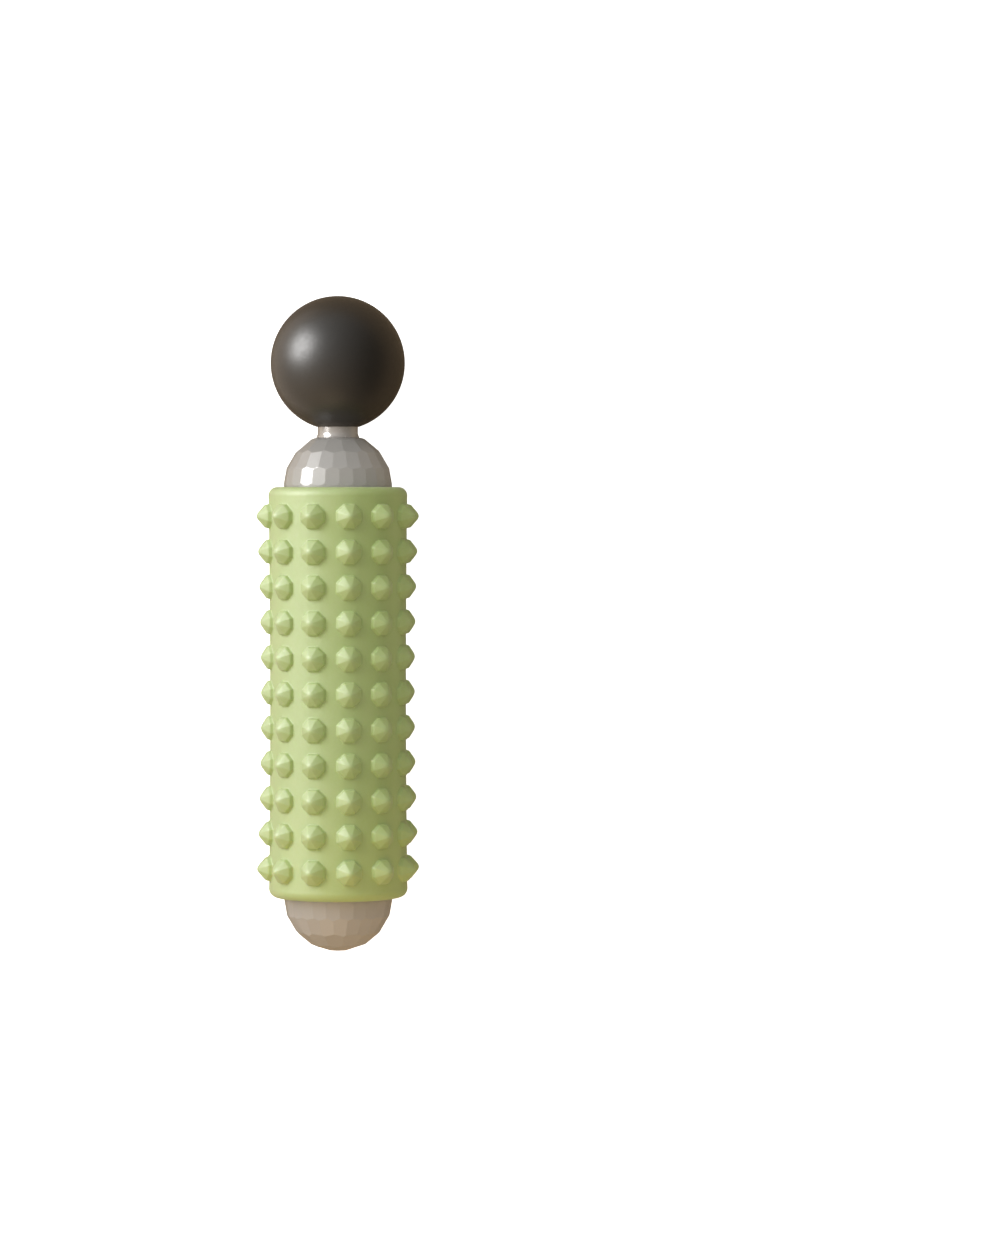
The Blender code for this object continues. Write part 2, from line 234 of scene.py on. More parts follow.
def dome_plastic():
    """Warm grey plastic with a fine pearl in it."""
    made, shader = new_material("dome_plastic", (0.45, 0.42, 0.40), 0.32, 0.1)
    pearl = remap(made, noise(made, 2500.0, 2.0), 0.0, 0.12)
    cloud = remap(made, noise(made, 60.0, 3.0), 0.0, 1.0)
    body = mix_colours(made, cloud, (0.410, 0.404, 0.396), (0.434, 0.428, 0.420))
    feed(made, shader, "Base Color", mix_colours(made, pearl, body, (0.54, 0.53, 0.52)))
    feed(made, shader, "Roughness", remap(made, noise(made, 420.0, 4.0), 0.30, 0.36))
    shader.inputs["Specular IOR Level"].default_value = 0.42
    shader.inputs["Coat Weight"].default_value = 0.15
    shader.inputs["Coat Roughness"].default_value = 0.18
    return made


def collar_plastic():
    """Smooth light grey plastic."""
    made, shader = new_material("collar_plastic", (0.36, 0.34, 0.325), 0.22, 0.2)
    cloud = remap(made, noise(made, 90.0, 3.0), 0.0, 1.0)
    body = mix_colours(made, cloud, (0.50, 0.475, 0.455), (0.53, 0.505, 0.485))
    feed(made, shader, "Base Color", body)
    feed(made, shader, "Roughness", remap(made, noise(made, 600.0, 4.0), 0.16, 0.28))
    bump(made, shader, noise(made, 1800.0, 3.0), 0.00002, 0.4)
    shader.inputs["Coat Weight"].default_value = 0.3
    return made


def black_rubber():
    """Satin black rubber with a very fine moulded grain."""
    made, shader = new_material("black_rubber", (0.016, 0.015, 0.014), 0.32)
    cloud = remap(made, noise(made, 40.0, 3.0), 0.0, 1.0)
    body = mix_colours(made, cloud, (0.0200, 0.0172, 0.0136), (0.0232, 0.0200, 0.0160))
    feed(made, shader, "Base Color", body)
    feed(made, shader, "Roughness", remap(made, noise(made, 700.0, 4.0), 0.36, 0.44))
    bump(made, shader, noise(made, 3200.0, 3.0), 0.00004, 0.5)
    shader.inputs["Specular IOR Level"].default_value = 0.65
    return made


def gasket_rubber():
    made, shader = new_material("gasket_rubber", (0.03, 0.03, 0.03), 0.7)
    feed(made, shader, "Roughness", remap(made, noise(made, 1500.0, 4.0), 0.6, 0.8))
    cloud = remap(made, noise(made, 200.0, 3.0), 0.0, 1.0)
    feed(made, shader, "Base Color", mix_colours(made, cloud, (0.024, 0.024, 0.024), (0.04, 0.04, 0.04)))
    bump(made, shader, noise(made, 2600.0, 3.0), 0.00005, 0.5)
    return made


def moulded_plastic(name, dark, light, low, high):
    """A plain moulded plastic between two colours and two roughnesses."""
    made, shader = new_material(name, light, high)
    cloud = remap(made, noise(made, 120.0, 3.0), 0.0, 1.0)
    feed(made, shader, "Base Color", mix_colours(made, cloud, dark, light))
    feed(made, shader, "Roughness", remap(made, noise(made, 800.0, 4.0), low, high))
    bump(made, shader, noise(made, 2000.0, 3.0), 0.00004, 0.5)
    shader.inputs["Subsurface Weight"].default_value = 0.08
    shader.inputs["Subsurface Scale"].default_value = 0.002
    return made


def turned_metal(name, dark, light, low, high):
    """Metal with fine turning marks round the axis."""
    made, shader = new_material(name, light, high, 1.0)
    marks = noise(made, 1.0, 2.0, stretch=(9000.0, 160.0, 160.0))
    feed(made, shader, "Base Color", mix_colours(made, remap(made, marks, 0.0, 1.0), dark, light))
    feed(made, shader, "Roughness", remap(made, noise(made, 300.0, 4.0), low, high))
    bump(made, shader, marks, 0.00003, 0.6)
    return made


def floor_material():
    """Plain white to the camera; to other rays a dim warm surface, warmer still in reflections."""
    made, shader = new_material("floor_paper", (0.9, 0.9, 0.9), 0.9)
    path = made.node_tree.nodes.new("ShaderNodeLightPath")
    seen, mirrored_in = path.outputs["Is Camera Ray"], path.outputs["Is Glossy Ray"]
    thrown_back = mix_colours(made, mirrored_in, (0.44, 0.39, 0.31), (0.40, 0.29, 0.18))
    feed(made, shader, "Base Color", mix_colours(made, seen, thrown_back, (0.90, 0.90, 0.89)))
    feed(made, shader, "Emission Strength", remap(made, seen, 0.0, 1.0, 0.0, 1.0))
    shader.inputs["Emission Color"].default_value = (1.0, 1.0, 1.0, 1.0)
    return made


MATERIALS = {
    "green_tpe": green_tpe(),
    "dome_plastic": dome_plastic(),
    "collar_plastic": collar_plastic(),
    "black_rubber": black_rubber(),
    "gasket_rubber": gasket_rubber(),
    "tube_plastic": moulded_plastic("tube_plastic", (0.66, 0.66, 0.63), (0.74, 0.74, 0.71), 0.4, 0.55),
    "nylon": moulded_plastic("nylon", (0.70, 0.68, 0.61), (0.80, 0.78, 0.72), 0.35, 0.5),
    "steel": turned_metal("steel", (0.46, 0.47, 0.49), (0.60, 0.61, 0.63), 0.22, 0.36),
    "brass": turned_metal("brass", (0.62, 0.46, 0.20), (0.76, 0.59, 0.30), 0.22, 0.34),
}


# ---------------------------------------------------------------- shapes

SLOT_OF = {s["node"]: s["material_slot"] for s in frame["record"]["subparts"]}
BODY_OF = {node: body for body, nodes in frame["record"]["behaviour"]["bodies"].items() for node in nodes}


def on_ring(x, r, angle):
    """A point at station x from the sleeve's middle, at radius r, turned by angle from straight up."""
    return (SLEEVE_MID.x + x, r * sin(angle), AXIS_Z + r * cos(angle))


def piece_from(mesh, node, smooth_angle=35):
    """An object that stands for a CAD node: it takes that node's body, slot and material."""
    mesh.shade_smooth()
    mesh.set_sharp_from_angle(angle=radians(smooth_angle))
    mesh.materials.clear()
    mesh.materials.append(MATERIALS[SLOT_OF[node]])
    piece = bpy.data.objects.new(node + "_shape", mesh)
    bpy.context.scene.collection.objects.link(piece)
    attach(piece, BODY_OF[node])
    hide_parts(node)
    return piece


def mesh_from(name, points, faces):
    mesh = bpy.data.meshes.new(name)
    mesh.from_pydata([tuple(p) for p in points], [], [tuple(f) for f in faces])
    return mesh


def arc(centre_x, centre_r, radius, start, end, steps):
    """(station, radius) points round an arc; angles in degrees, 0 along +X and 90 away from the axis."""
    angles = [radians(start + (end - start) * i / steps) for i in range(steps + 1)]
    return [(centre_x + radius * cos(a), centre_r + radius * sin(a)) for a in angles]


def eased(profile, radius, closed):
    """The profile with each sharp corner turned into a small arc."""
    out = []
    count = len(profile)
    for i, (x, r) in enumerate(profile):
        corner = Vector((x, r))
        if not closed and i in (0, count - 1):
            out.append((x, r))
            continue
        before = Vector(profile[i - 1]) - corner
        after = Vector(profile[(i + 1) % count]) - corner
        turn = pi - before.angle(after)
        if turn < CORNER_ANGLE:
            out.append((x, r))
            continue
        reach = min(radius, 0.4 * before.length, 0.4 * after.length)
        start, end = corner + before.normalized() * reach, corner + after.normalized() * reach
        for t in (0.0, 0.25, 0.5, 0.75, 1.0):
            point = start.lerp(corner, t).lerp(corner.lerp(end, t), t)
            out.append((point.x, point.y))
    return out


def face_between(first, second, i, k):
    """The corners of one face between two rings, either of which may be a single point."""
    corners = [first[i % len(first)], first[k % len(first)]]
    corners += [second[k % len(second)], second[i % len(second)]]
    return list(dict.fromkeys(corners))


def lathe(profile, closed, steps=ROUND_STEPS, radius_at=None):
    """Points and faces of a turned shape.

    radius_at(x, r, angle) may change a ring's radius round the axis.
    """
    points, faces, rings = [], [], []
    for x, r in profile:
        if r <= 0:
            rings.append([len(points)])
            points.append(on_ring(x, 0, 0))
            continue
        rings.append(list(range(len(points), len(points) + steps)))
        for i in range(steps):
            angle = 2 * pi * i / steps
            points.append(on_ring(x, radius_at(x, r, angle) if radius_at else r, angle))
    pairs = list(zip(rings, rings[1:])) + ([(rings[-1], rings[0])] if closed else [])
    for first, second in pairs:
        for i in range(steps):
            k = (i + 1) % steps
            faces.append(face_between(first, second, i, k))
    return points, faces


def facing_out(mesh):
    """Turns the faces outward."""
    bm = bmesh.new()
    bm.from_mesh(mesh)
    bmesh.ops.recalc_face_normals(bm, faces=bm.faces)
    bm.to_mesh(mesh)
    bm.free()
    return mesh


def turned(node, profile, ease=0.25 * MM, steps=ROUND_STEPS, radius_at=None):
    """A turned piece with eased corners, in place of a CAD node."""
    closed = all(r > 0 for _, r in profile)
    points, faces = lathe(eased(profile, ease, closed), closed, steps, radius_at)
    return piece_from(facing_out(mesh_from(node, points, faces)), node)


def pipe(start_x, end_x, inner, outer):
    return [(start_x, inner), (start_x, outer), (end_x, outer), (end_x, inner)]


def mirrored(profile, side):
    return [(side * x, r) for x, r in profile]


# ---------------------------------------------------------------- sleeve


def body_radius(x):
    return SLEEVE_R_WAIST + (SLEEVE_R_END - SLEEVE_R_WAIST) * (2 * x / SLEEVE_LENGTH) ** 2


def stud_height(x):
    end_ring = RING_PITCH * (STUD_RINGS - 1) / 2
    return STUD_TIP_R_WAIST + (STUD_TIP_R_END - STUD_TIP_R_WAIST) * (x / end_ring) ** 2 - body_radius(x)


def soft_min(a, b, width):
    """The lower of two heights, with a round of the given width where they meet."""
    return np.minimum(a, b) - np.maximum(width - np.abs(a - b), 0) ** 2 / (4 * width)


def stud_lift(across, along, height):
    """Height of a faceted stud over the sleeve: a short steep wall, eight sloping facets and a blunt tip."""
    out = np.full_like(across, -1.0)
    for i in range(STUD_SIDES):
        turn = 2 * pi * i / STUD_SIDES
        reach = across * cos(turn) + along * sin(turn)
        out = -soft_min(-out, -reach, FACET_ROUND)
    share = out / STUD_BASE_R
    knee, lift = STUD_KNEE
    crown = height * (lift + (1 - lift) * (knee - share) / (knee - STUD_TIP_SHARE))
    wall = height * lift * (1 - share) / (1 - knee)
    top = soft_min(crown, np.full_like(crown, height), TIP_ROUND)
    return -soft_min(-soft_min(top, wall, KNEE_ROUND), np.zeros_like(top), FOOT_ROUND)


def spoke_angles():
    """Directions of a cell's spokes: facet middles, facet edges and one each side of the edges."""
    found = set()
    to_middle, beside = 180 / STUD_SIDES, 5
    for i in range(STUD_SIDES):
        edge = (i + 0.5) * 360 / STUD_SIDES
        found.update(round(a % 360, 6) for a in (edge - to_middle, edge - beside, edge, edge + beside))
    return sorted(found)


# Rings of points on a stud, in millimetres from its middle to the flats, closer where its shape turns
STUD_RING_AT = (0.45, 0.85, 1.3, 2.2, 3.2, 4.2, 4.5, 4.7, 4.88, 5.05, 5.22, 5.5, 6.1)


def cell_grid():
    """Rings of (across, along) points from the tip's ring out to the cell's border, and the spokes."""
    spokes = [radians(a) for a in spoke_angles()]
    half_across, half_along = SLEEVE_R_WAIST * pi / STUD_ROWS, RING_PITCH / 2
    half_turn = pi / STUD_SIDES
    rings = []
    for ring in STUD_RING_AT:
        reach = [ring * MM / cos((a + half_turn) % (2 * half_turn) - half_turn) for a in spokes]
        rings.append([(r * cos(a), r * sin(a)) for r, a in zip(reach, spokes)])
    border = []
    for a in spokes:
        scale = 1 / max(abs(cos(a)), abs(sin(a)))
        border.append((half_across * cos(a) * scale, half_along * sin(a) * scale))
    rings.append(border)
    return np.array(rings), len(spokes)


def sleeve_points():
    """All cells' points and faces before welding, with how high each point stands on its stud."""
    grid, spokes = cell_grid()
    flat = np.concatenate([[[0.0, 0.0]], grid.reshape(-1, 2)])
    rings = len(grid)
    cell_faces = [(0, 1 + i, 1 + (i + 1) % spokes) for i in range(spokes)]
    for j in range(rings - 1):
        low, high = 1 + j * spokes, 1 + (j + 1) * spokes
        for i in range(spokes):
            k = (i + 1) % spokes
            cell_faces.append((low + i, high + i, high + k, low + k))
    points, faces, lifts = [], [], []
    for j in range(STUD_RINGS):
        station = RING_PITCH * (j - (STUD_RINGS - 1) / 2)
        height = stud_height(station)
        lift = stud_lift(flat[:, 0], flat[:, 1], height)
        lift[-spokes:] = 0
        stations = station + flat[:, 1]
        radius = body_radius(stations) + lift
        for row in range(STUD_ROWS):
            turn = 2 * pi * (row + 0.5) / STUD_ROWS + flat[:, 0] / SLEEVE_R_WAIST
            start = len(flat) * len(points)
            points.append(np.stack([stations, radius, turn], axis=1))
            faces.extend(tuple(start + v for v in face) for face in cell_faces)
            lifts.append(lift / height)
    return np.concatenate(points), faces, np.concatenate(lifts)


def sleeve_lip():
    """The lip's profile at the +X end, from the last cell to the bore over the tube."""
    end = SLEEVE_LENGTH / 2
    return [
        (end - LIP_ROUND - 0.6 * MM, body_radius(end - LIP_ROUND)),
        *arc(end - LIP_ROUND, SLEEVE_R_END - LIP_ROUND, LIP_ROUND, 90, 0, 10),
        *arc(end - MOUTH_ROUND, LIP_BORE_R + MOUTH_ROUND, MOUTH_ROUND, 0, -90, 5),
        (end - LIP_DEPTH + 0.3 * MM, LIP_BORE_R),
        (end - LIP_DEPTH, LIP_BORE_R + 0.3 * MM),
        (end - LIP_DEPTH, TUBE_BORE_R),
    ]


def massage_sleeve():
    points, faces, lifts = sleeve_points()
    points[:, 2] %= 2 * pi
    half = RING_PITCH * STUD_RINGS / 2
    edge = np.abs(points[:, 0] - half) < 1e-7
    turns = np.unique(np.round(points[edge, 2], 5) % round(2 * pi, 5))
    count = len(turns)
    lip = sleeve_lip()
    chain = [(half, body_radius(half)), *lip, *reversed(mirrored(lip, -1)), (-half, body_radius(half))]
    start = len(points)
    rings = np.array([[x, r, t] for x, r in chain for t in turns])
    points = np.concatenate([points, rings])
    lifts = np.concatenate([lifts, np.zeros(len(rings))])
    for j in range(len(chain) - 1):
        low, high = start + j * count, start + (j + 1) * count
        for i in range(count):
            k = (i + 1) % count
            faces.append((low + i, low + k, high + k, high + i))
    along, radius, turn = points.T
    across, up = radius * np.sin(turn), radius * np.cos(turn)
    places = np.stack([SLEEVE_MID.x + along, across, AXIS_Z + up], axis=1)
    weld = 2e-6  # points that round to the same multiple of this become one
    _, first, index = np.unique(np.round(places / weld), axis=0, return_index=True, return_inverse=True)
    index = index.reshape(-1)
    welded = [tuple(dict.fromkeys(int(index[v]) for v in face)) for face in faces]
    mesh = mesh_from("massage_sleeve", places[first], [face for face in welded if len(face) > 2])
    values = mesh.attributes.new("lift", "FLOAT", "POINT")
    values.data.foreach_set("value", lifts[first].astype(np.float32))
    return piece_from(facing_out(mesh), "massage_sleeve", 70)


# ---------------------------------------------------------------- domes


def facet_normals():
    """The outward direction of every facet on a dome that points along +X."""
    for index, (latitude, count) in enumerate(FACET_RINGS):
        up = radians(latitude)
        for i in range(count):
            turn = 2 * pi * (i + 0.5 * (index % 2)) / count
            yield Vector((sin(up), cos(up) * sin(turn), cos(up) * cos(turn)))
    yield Vector((1, 0, 0))


def cut_by_plane(bm, place, normal):
    """Cuts away what lies beyond a plane and closes the cut."""
    parts = [*bm.verts, *bm.edges, *bm.faces]
    cut = bmesh.ops.bisect_plane(
        bm, geom=parts, dist=1e-7, plane_co=place, plane_no=normal, clear_outer=True
    )
    rim = [e for e in cut["geom_cut"] if isinstance(e, bmesh.types.BMEdge)]
    bmesh.ops.holes_fill(bm, edges=rim)


def plain_lathe(profile, steps):
    """A bmesh turned about the X axis through the origin, from axis to axis."""
    bm = bmesh.new()
    rings = []
    for x, r in profile:
        turns = [2 * pi * i / steps for i in range(steps)] if r else [0.0]
        rings.append([bm.verts.new((x, r * sin(t), r * cos(t))) for t in turns])
    for first, second in zip(rings, rings[1:]):
        for i in range(steps):
            k = (i + 1) % steps
            bm.faces.new(face_between(first, second, i, k))
    bmesh.ops.recalc_face_normals(bm, faces=bm.faces)
    return bm


def loose_object(name, bm):
    mesh = bpy.data.meshes.new(name)
    bm.to_mesh(mesh)
    bm.free()
    made = bpy.data.objects.new(name, mesh)
    bpy.context.scene.collection.objects.link(made)
    return made


def applied(made):
    """The object's mesh with its modifiers applied; the object itself is removed."""
    bpy.context.view_layer.update()
    evaluated = made.evaluated_get(bpy.context.evaluated_depsgraph_get())
    mesh = bpy.data.meshes.new_from_object(evaluated)
    bpy.data.objects.remove(made)
    return mesh


def faceted_dome(node, inside, side, seat=None):
    """A faceted shell whose facets meet in small rounds, hollowed by the turned profile inside."""
    blank = [(-SKIRT_DEPTH, 0), (-SKIRT_DEPTH, DOME_R), (DOME_R, DOME_R), (DOME_R, 0)]
    bm = plain_lathe(blank, DOME_STEPS)
    for normal in facet_normals():
        cut_by_plane(bm, normal * FACET_R, normal)
    if seat:
        cut_by_plane(bm, Vector((seat, 0, 0)), Vector((1, 0, 0)))
    outside = loose_object("dome_outside", bm)
    ease = outside.modifiers.new("ease", "BEVEL")
    ease.width = FACET_EASE
    ease.segments = 3
    ease.limit_method = "ANGLE"
    ease.angle_limit = radians(6)
    cutter = loose_object("dome_inside", plain_lathe([(x - DOME_X, r) for x, r in inside], DOME_STEPS))
    hollow = outside.modifiers.new("hollow", "BOOLEAN")
    hollow.operation = "DIFFERENCE"
    hollow.object = cutter
    mesh = applied(outside)
    bpy.data.objects.remove(cutter)
    turn = Matrix.Scale(-1, 4, Vector((1, 0, 0))) if side < 0 else Matrix.Identity(4)
    mesh.transform(Matrix.Translation((SLEEVE_MID.x + side * DOME_X, 0, AXIS_Z)) @ turn)
    piece = piece_from(facing_out(mesh), node, 30)
    even = piece.modifiers.new("even_normals", "WEIGHTED_NORMAL")
    even.keep_sharp = True
    even.weight = 80
    return piece


def dome_inside(inner_end, boss_x):
    inner = DOME_R - DOME_WALL
    meets = asin(BOSS_R / inner)
    mouth = DOME_X - SKIRT_DEPTH - MM
    shell = arc(DOME_X, 0, inner, 90, degrees(meets), 16)
    return [(mouth, 0), (mouth, inner), *shell, (boss_x, BOSS_R), (boss_x, BOSS_BORE_R), *inner_end]


# ---------------------------------------------------------------- everything else


def station(x):
    """A station counted from the sleeve's middle, for a place in the frame."""
    return x - SLEEVE_MID.x


def span(node):
    """The two stations between which a CAD node lies."""
    low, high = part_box(node)
    return station(low.x), station(high.x)


def thread(depth, lead, start, end):
    """A change of radius that cuts a right-hand thread between two stations, fading out at both."""
    run_out = 0.3 * lead

    def cut(x, angle):
        phase = (x / lead + angle / (2 * pi)) % 1.0
        shape = min(1.0, max(0.0, abs(phase - 0.5) * 4 - 0.5))
        fade = min(1.0, max(0.0, (x - start) / run_out), max(0.0, (end - x) / run_out))
        return -depth * shape * fade

    return cut


def threaded_rod(node, profile, threads, ease=0.3 * MM):
    """A turned rod, from axis to axis, with threads cut into some of its stretches."""
    step = 0.22 * MM
    fine = []
    for (x0, r0), (x1, r1) in zip(profile, profile[1:]):
        fine.append((x0, r0))
        cut_here = r0 == r1 and r0 > 0 and any(t[0] < (x0 + x1) / 2 < t[1] for t in threads)
        if cut_here:
            count = int((x1 - x0) / step)
            fine.extend((x0 + (x1 - x0) * i / count, r0) for i in range(1, count))
    fine.append(profile[-1])
    cuts = [(low, high, thread(depth, lead, low, high)) for low, high, depth, lead in threads]

    def radius_at(x, r, angle):
        return r + sum(cut(x, angle) for low, high, cut in cuts if low < x < high)

    points, faces = lathe(eased(fine, ease, False), False, THREAD_STEPS, radius_at)
    return piece_from(facing_out(mesh_from(node, points, faces)), node)


def hexagon(corner, chamfer_x0, chamfer_x1):
    """A radius rule that makes a turned blank six-sided, with chamfered corners at both ends."""
    bore_limit = 0.8 * corner  # rings smaller than this belong to the bore
    chamfer_r, chamfer_slope = 0.915 * corner, 1.7

    def radius_at(x, r, angle):
        if r < bore_limit:
            return r
        within = abs((angle + pi / 6) % (pi / 3) - pi / 6)
        flat = corner * cos(pi / 6) / cos(pi / 6 - within)
        from_end = min(x - chamfer_x0, chamfer_x1 - x)
        return min(flat, chamfer_r + from_end * chamfer_slope)

    return radius_at


def knurl(outer, depth, count):
    """A radius rule that cuts straight knurling into the outside."""
    knurled_above = 0.97 * outer

    def radius_at(x, r, angle):
        return r - depth * (0.5 + 0.5 * cos(count * angle)) if r > knurled_above else r

    return radius_at


def roller_parts():
    start, end = span("roller_tube")
    turned("roller_tube", pipe(start, end, TUBE_R - TUBE_WALL, TUBE_R), 0.4 * MM)
    for name, side in (("end", -1), ("neck", 1)):
        bearing_hub("bearing_hub_" + name, side)
        hub_bush("hub_bush_" + name, side)


def bearing_hub(node, side):
    low, high = sorted(abs(x) for x in span(node))
    web = (low + high - HUB_WEB) / 2
    web_end = web + HUB_WEB
    under_rim = HUB_RIM_R - HUB_RIM
    profile = [
        (low, HUB_BORE_R),
        (low, HUB_R),
        (web, HUB_R),
        (web, under_rim),
        (low, under_rim),
        (low, HUB_RIM_R),
        (high, HUB_RIM_R),
        (high, under_rim),
        (web_end, under_rim),
        (web_end, HUB_R),
        (high, HUB_R),
        (high, HUB_BORE_R),
    ]
    turned(node, mirrored(profile, side), 0.4 * MM)


def hub_bush(node, side):
    low, high = sorted(abs(x) for x in span(node))
    flange = high - BUSH_FLANGE
    profile = [
        (low, BUSH_BORE_R),
        (low, BUSH_R),
        (flange, BUSH_R),
        (flange, BUSH_FLANGE_R),
        (high, BUSH_FLANGE_R),
        (high, BUSH_BORE_R),
    ]
    turned(node, mirrored(profile, side), 0.2 * MM)


def core_parts():
    for name, side in (("end", -1), ("neck", 1)):
        start, end = span("thrust_washer_" + name)
        turned("thrust_washer_" + name, pipe(start, end, WASHER_BORE_R, WASHER_R), 0.15 * MM)
        start, end = span("lock_nut_" + name)
        nut = fine_pipe(start, end, THREAD_R + GAP, NUT_R, 12)
        turned("lock_nut_" + name, nut, 0.05 * MM, 144, hexagon(NUT_R, start, end))
    start, end = span("axle_rod")
    shoulder = max(abs(x) for x in span("thrust_washer_neck")) + 0.15 * MM
    rod = [
        (start, 0),
        (start, THREAD_R),
        (-shoulder, THREAD_R),
        (-shoulder, AXLE_R),
        (shoulder, AXLE_R),
        (shoulder, THREAD_R),
        (end, THREAD_R),
        (end, 0),
    ]
    form = AXLE_THREAD_DEPTH, AXLE_THREAD_LEAD
    cuts = [(start + 0.3 * MM, -shoulder, *form), (shoulder, end - 0.3 * MM, *form)]
    threaded_rod("axle_rod", rod, cuts)
    boss_x = min(abs(x) for x in span("end_dome_insert")) - GAP
    bore_end = boss_x + END_BORE_DEPTH
    faceted_dome("end_dome", dome_inside([(bore_end, BOSS_BORE_R), (bore_end, 0)], boss_x), -1)
    seat = DOME_X + DOME_SEAT
    recess = seat - SEAT_RECESS
    above = seat + MM
    through = [(recess, BOSS_BORE_R), (recess, SEAT_RECESS_R), (above, SEAT_RECESS_R), (above, 0)]
    faceted_dome("neck_dome", dome_inside(through, boss_x), 1, DOME_SEAT)
    for node in ("end_dome_insert", "neck_dome_insert"):
        insert(node)


def fine_pipe(start, end, inner, outer, steps):
    """A pipe's profile with extra rings along its outside."""
    rings = [(start + (end - start) * i / steps, outer) for i in range(steps + 1)]
    return [(start, inner), *rings, (end, inner)]


def insert(node):
    """A knurled brass insert with a plain neck between two knurled bands."""
    start, end = span(node)
    inner, outer = THREAD_R + GAP, BOSS_BORE_R - GAP
    third = (end - start) / 3
    profile = [
        (start, inner),
        (start, outer),
        (start + third, outer),
        (start + third, NECK_SHARE * outer),
        (end - third, NECK_SHARE * outer),
        (end - third, outer),
        (end, outer),
        (end, inner),
    ]
    turned(node, profile, 0.15 * MM, 192, knurl(outer, KNURL_DEPTH, KNURL_COUNT))


def head_parts():
    start, end = span("neck_washer")
    turned("neck_washer", pipe(start, end, THREAD_R + GAP, GASKET_R), 0.2 * MM)
    start, end = span("neck_collar")
    start -= COLLAR_DROP
    flare = [
        (start + COLLAR_FLARE * t, COLLAR_R + (COLLAR_FOOT_R - COLLAR_R) * (1 - t) ** 2)
        for t in (0.2, 0.35, 0.5, 0.65, 0.8, 1.0)
    ]
    bore = THREAD_R + GAP
    collar = [(start, bore), (start, COLLAR_FOOT_R), *flare, (end, COLLAR_R), (end, bore)]
    turned("neck_collar", collar, 0.2 * MM)
    start, end = span("head_stud")
    rod = [(start, 0), (start, THREAD_R), (end, THREAD_R), (end, 0)]
    cut = (start + 0.2 * MM, end - 0.2 * MM, HEAD_THREAD_DEPTH, THREAD_LEAD)
    threaded_rod("head_stud", rod, [cut], 0.6 * MM)
    insert("ball_core_nut")
    ball_x = span("ball_cover")[1] - BALL_R
    ball_cover(ball_x)
    ball_core(ball_x)


def ball_cover(ball_x):
    inner, mouth = BALL_R - BALL_SKIN, COLLAR_R + GAP
    outside = 180 - degrees(asin(mouth / BALL_R))
    inside = 180 - degrees(asin(mouth / inner))
    profile = [
        (ball_x + inner, 0),
        *arc(ball_x, 0, inner, 0, inside, 40)[1:],
        *arc(ball_x, 0, BALL_R, outside, 0, 72)[:-1],
        (ball_x + BALL_R, 0),
    ]
    turned("ball_cover", profile, 0.35 * MM, 144)


def ball_core(ball_x):
    radius, socket = BALL_R - BALL_SKIN - GAP, COLLAR_R + GAP
    floor = span("neck_collar")[1] + GAP
    deep = span("ball_core_nut")[1] + GAP
    meets = 180 - degrees(asin(socket / radius))
    profile = [
        (deep, 0),
        (deep, BOSS_BORE_R),
        (floor, BOSS_BORE_R),
        (floor, socket),
        *arc(ball_x, 0, radius, meets, 0, 40)[:-1],
        (ball_x + radius, 0),
    ]
    turned("ball_core", profile, 0.3 * MM)


# ---------------------------------------------------------------- stage


def area_light(name, direction, distance, size, power, colour):
    """A rectangular soft light that looks at the sleeve's middle from a direction."""
    lamp = bpy.data.lights.new(name, "AREA")
    lamp.shape = "RECTANGLE"
    lamp.size, lamp.size_y = size
    lamp.energy = power
    lamp.color = colour
    holder = bpy.data.objects.new(name, lamp)
    bpy.context.scene.collection.objects.link(holder)
    away = Vector(direction).normalized()
    holder.location = SLEEVE_MID + away * distance
    holder.rotation_euler = (-away).to_track_quat("-Z", "Y").to_euler()
    return holder


def low_glow():
    """A lamp flat on the floor on the +Y side, facing up, seen only in the roller's sheen."""
    lamp = area_light("low_glow", (0, 0, -1), 1.0, (0.70, 0.50), 0.75, (1.0, 0.88, 0.78))
    lamp.location = (0.0, 0.31, 0.0)
    lamp.rotation_euler = (pi, 0, 0)
    lamp.visible_diffuse = False
    lamp.visible_camera = False


def warm_spot():
    """A narrow warm light on the plain dome."""
    lamp = bpy.data.lights.new("warm_spot", "SPOT")
    lamp.energy = 7.5
    lamp.color = (1.0, 0.48, 0.02)
    lamp.spot_size = radians(9)
    lamp.spot_blend = 1.0
    lamp.shadow_soft_size = 0.05
    holder = bpy.data.objects.new("warm_spot", lamp)
    bpy.context.scene.collection.objects.link(holder)
    target = Vector((SLEEVE_MID.x - DOME_X - 10 * MM, 0, AXIS_Z))
    holder.location = Vector((-0.45, -0.12, 0.45))
    holder.rotation_euler = (target - holder.location).to_track_quat("-Z", "Y").to_euler()
    holder.visible_glossy = False


def stage():
    """The floor, the world and the lights."""
    half = 4.0
    corners = [(-half, -half, 0), (half, -half, 0), (half, half, 0), (-half, half, 0)]
    floor = bpy.data.objects.new("floor", mesh_from("floor", corners, [(0, 1, 2, 3)]))
    bpy.context.scene.collection.objects.link(floor)
    floor.data.materials.append(floor_material())
    floor.location.z = -0.2 * MM
    pale_room()
    lights()


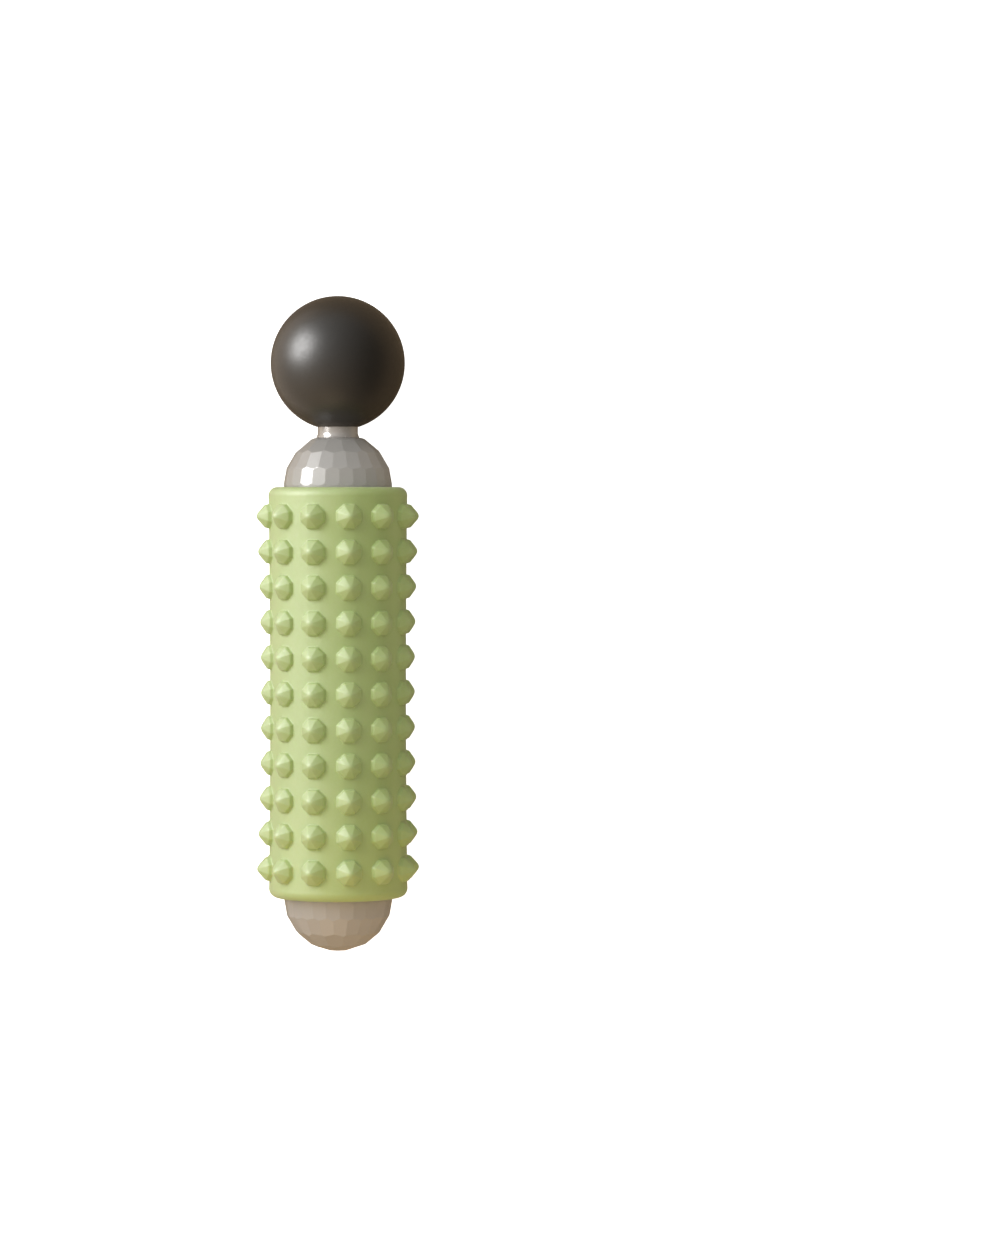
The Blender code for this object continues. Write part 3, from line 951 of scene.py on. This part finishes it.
def pale_room():
    """White to the camera; its light is warmer towards -X, and reflections fade out towards -Y."""
    world = bpy.data.worlds.new("pale_room")
    world.use_nodes = True
    tree = world.node_tree
    coords = tree.nodes.new("ShaderNodeTexCoord")
    split = tree.nodes.new("ShaderNodeSeparateXYZ")
    tree.links.new(coords.outputs["Generated"], split.inputs["Vector"])
    warmth = remap(world, split.outputs["X"], 0.0, 1.0, -0.8, 0.5)
    path = tree.nodes.new("ShaderNodeLightPath")
    seen, glossy = path.outputs["Is Camera Ray"], path.outputs["Is Glossy Ray"]
    lit_by = mix_colours(world, warmth, (0.575, 0.482, 0.355), (0.590, 0.584, 0.560))
    side = remap(world, split.outputs["Y"], 0.0, 1.0, -0.8, 0.8)
    left = mix_colours(world, warmth, (1.176, 0.912, 0.648), (1.164, 1.176, 1.200))
    mirrored_by = mix_colours(world, side, (0.039, 0.035, 0.031), left)
    thrown = mix_colours(world, glossy, lit_by, mirrored_by)
    colour = mix_colours(world, seen, thrown, (1.0, 1.0, 1.0))
    tree.links.new(colour, tree.nodes["Background"].inputs["Color"])
    bpy.context.scene.world = world


def lights():
    """A key light split into its diffuse part and its sheen, then three warm lamps."""
    key = area_light("key", (0.50, 0.64, 0.58), 1.30, (0.94, 0.72), 8.1, (1.0, 0.99, 0.97))
    key.visible_glossy = False
    sheen = area_light("key_sheen", (0.48, 0.79, 0.40), 1.25, (0.72, 0.68), 22.0, (1.0, 1.0, 1.0))
    sheen.visible_diffuse = False
    area_light("warm_fill", (-0.85, 0.10, 0.40), 1.4, (0.8, 0.8), 1.2, (1.0, 0.76, 0.50))
    low_glow()
    warm_spot()


def camera():
    """Looks down on the roller with its axis upright in the picture and the ball on top."""
    distance = 1.854141  # metres from the roller's axis out to the camera
    roll = radians(6.0)  # how far the view leans from straight down
    across, along = 66.7491 * MM, 27.6061 * MM  # from the sleeve's middle to the middle of the view
    data = bpy.data.cameras.new("camera")
    data.sensor_width = 36.0  # millimetres, as is the lens
    data.lens = 129.6
    data.clip_end = 20.0
    holder = bpy.data.objects.new("camera", data)
    bpy.context.scene.collection.objects.link(holder)
    away = Vector((0, -sin(roll), cos(roll)))
    right = Vector((0, -cos(roll), -sin(roll)))
    up = Vector((1, 0, 0))
    middle = Vector((SLEEVE_MID.x, 0, AXIS_Z))
    ahead = DOME_X - 2 * MM  # the camera stands nearly above the sleeve's ball end
    place = middle + up * ahead + away * distance
    target = middle + right * across + up * along
    back = (place - target).normalized()
    side = up.cross(back).normalized()
    turn = Matrix((side, back.cross(side), back)).transposed()
    holder.matrix_world = Matrix.Translation(place) @ turn.to_4x4()
    bpy.context.scene.camera = holder


bpy.context.scene.view_settings.view_transform = "Standard"
massage_sleeve()
roller_parts()
core_parts()
head_parts()
stage()
camera()
